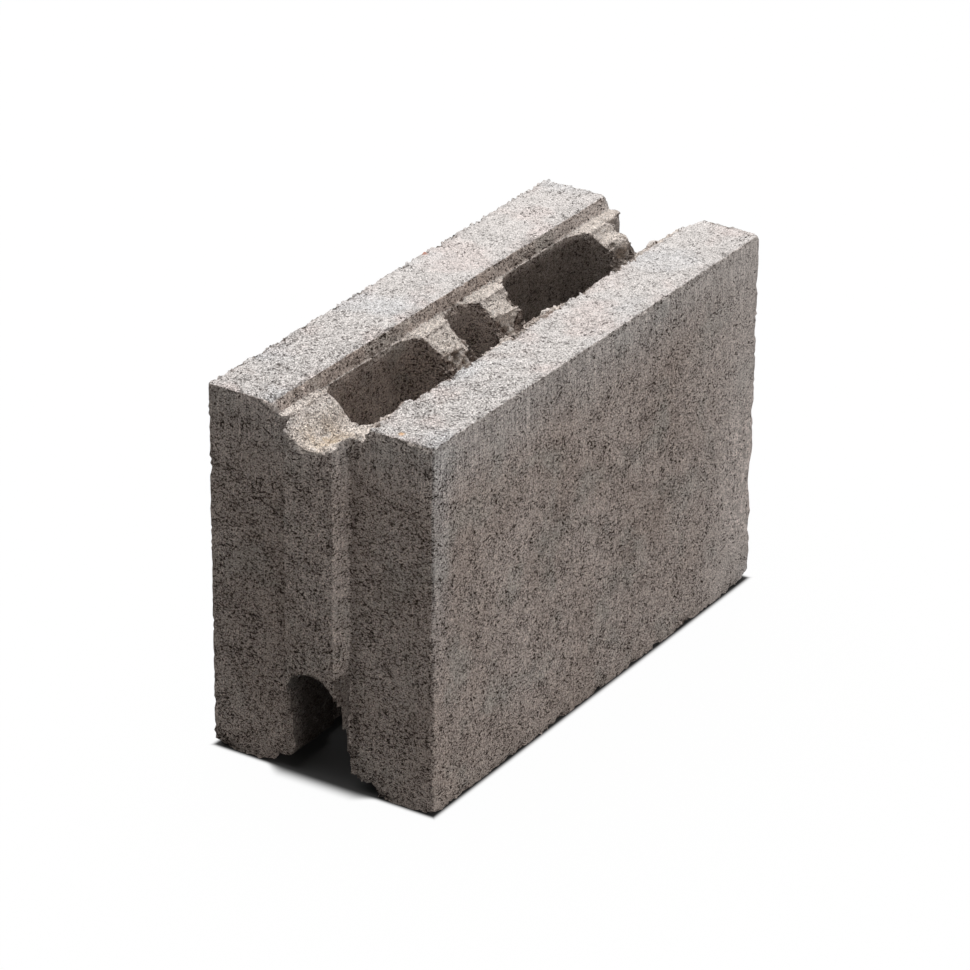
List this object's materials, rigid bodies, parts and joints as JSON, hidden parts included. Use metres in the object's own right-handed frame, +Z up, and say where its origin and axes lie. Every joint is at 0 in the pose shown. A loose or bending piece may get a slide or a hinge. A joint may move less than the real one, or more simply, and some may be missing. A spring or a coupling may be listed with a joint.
{
  "type": "concrete block",
  "caption": "Hollow concrete wall block with drafted cells, a tongue on one end and a groove in the other, a recessed channel along the top and an arched one underneath.",
  "frame": {"origin": "under the middle of the whole block, tongue included, at the level of its bed face", "axes": "+X along the block from its tongue to its groove, +Y across its width, +Z up as it is laid"},
  "size_m": [0.3, 0.125, 0.19],
  "materials": {
    "concrete": "raw pressed concrete, porous, with crumbled edges"
  },
  "bodies": {
    "root": {"block": "concrete"}
  },
  "joints": []
}
